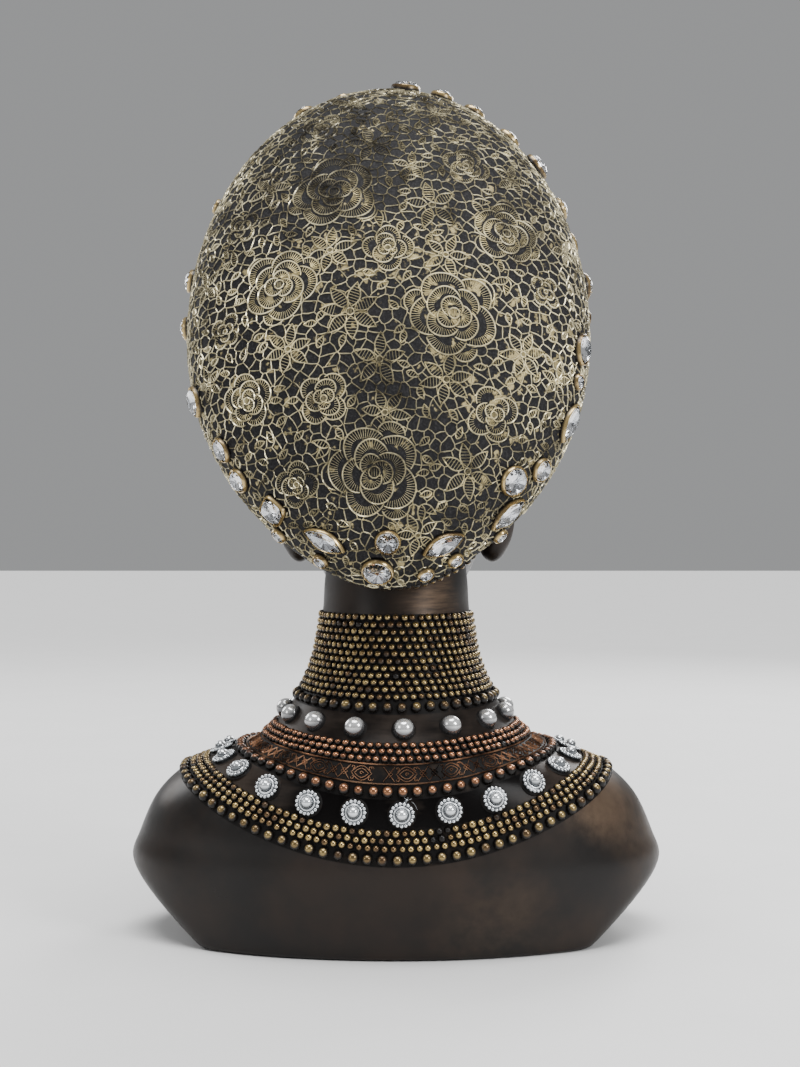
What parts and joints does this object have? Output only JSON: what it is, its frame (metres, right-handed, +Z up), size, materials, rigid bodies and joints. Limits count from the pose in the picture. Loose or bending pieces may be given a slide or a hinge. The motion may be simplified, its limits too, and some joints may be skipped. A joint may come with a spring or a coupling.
{
  "type": "african queen bust",
  "caption": "Souvenir bust of a queen with a tall domed lace-relief headdress set with glass stones, a beaded neck and a wide beaded collar.",
  "frame": {"origin": "middle of the flat underside", "axes": "+Z up, the face looks along -Y, the back of the headdress is towards +Y"},
  "size_m": [0.2128, 0.1344, 0.3499],
  "materials": {
    "resin_casting": "hand painted dark bronze resin, satin, with gold and copper dry brushing on the relief",
    "glass_stone": "clear faceted glass",
    "round_pearl": "white pearl lacquer",
    "flower_cabochon": "translucent white pearl plastic"
  },
  "bodies": {
    "root": {"bust_casting": "resin_casting", "stone_01": "glass_stone", "stone_02": "glass_stone", "stone_03": "glass_stone", "stone_04": "glass_stone", "stone_05": "glass_stone", "stone_06": "glass_stone", "stone_07": "glass_stone", "stone_08": "glass_stone", "stone_09": "glass_stone", "stone_10": "glass_stone", "stone_11": "glass_stone", "stone_12": "glass_stone", "stone_13": "glass_stone", "stone_14": "glass_stone", "stone_15": "glass_stone", "stone_16": "glass_stone", "stone_17": "glass_stone", "stone_18": "glass_stone", "stone_19": "glass_stone", "stone_20": "glass_stone", "stone_21": "glass_stone", "stone_22": "glass_stone", "stone_23": "glass_stone", "stone_24": "glass_stone", "stone_25": "glass_stone", "stone_26": "glass_stone", "stone_27": "glass_stone", "stone_28": "glass_stone", "stone_29": "glass_stone", "stone_30": "glass_stone", "stone_31": "glass_stone", "stone_32": "glass_stone", "stone_33": "glass_stone", "pearl_01": "round_pearl", "pearl_02": "round_pearl", "pearl_03": "round_pearl", "pearl_04": "round_pearl", "pearl_05": "round_pearl", "pearl_06": "round_pearl", "pearl_07": "round_pearl", "pearl_08": "round_pearl", "pearl_09": "round_pearl", "pearl_10": "round_pearl", "pearl_11": "round_pearl", "pearl_12": "round_pearl", "pearl_13": "round_pearl", "pearl_14": "round_pearl", "pearl_15": "round_pearl", "cabochon_01": "flower_cabochon", "cabochon_02": "flower_cabochon", "cabochon_03": "flower_cabochon", "cabochon_04": "flower_cabochon", "cabochon_05": "flower_cabochon", "cabochon_06": "flower_cabochon", "cabochon_07": "flower_cabochon", "cabochon_08": "flower_cabochon", "cabochon_09": "flower_cabochon", "cabochon_10": "flower_cabochon", "cabochon_11": "flower_cabochon"}
  },
  "joints": []
}
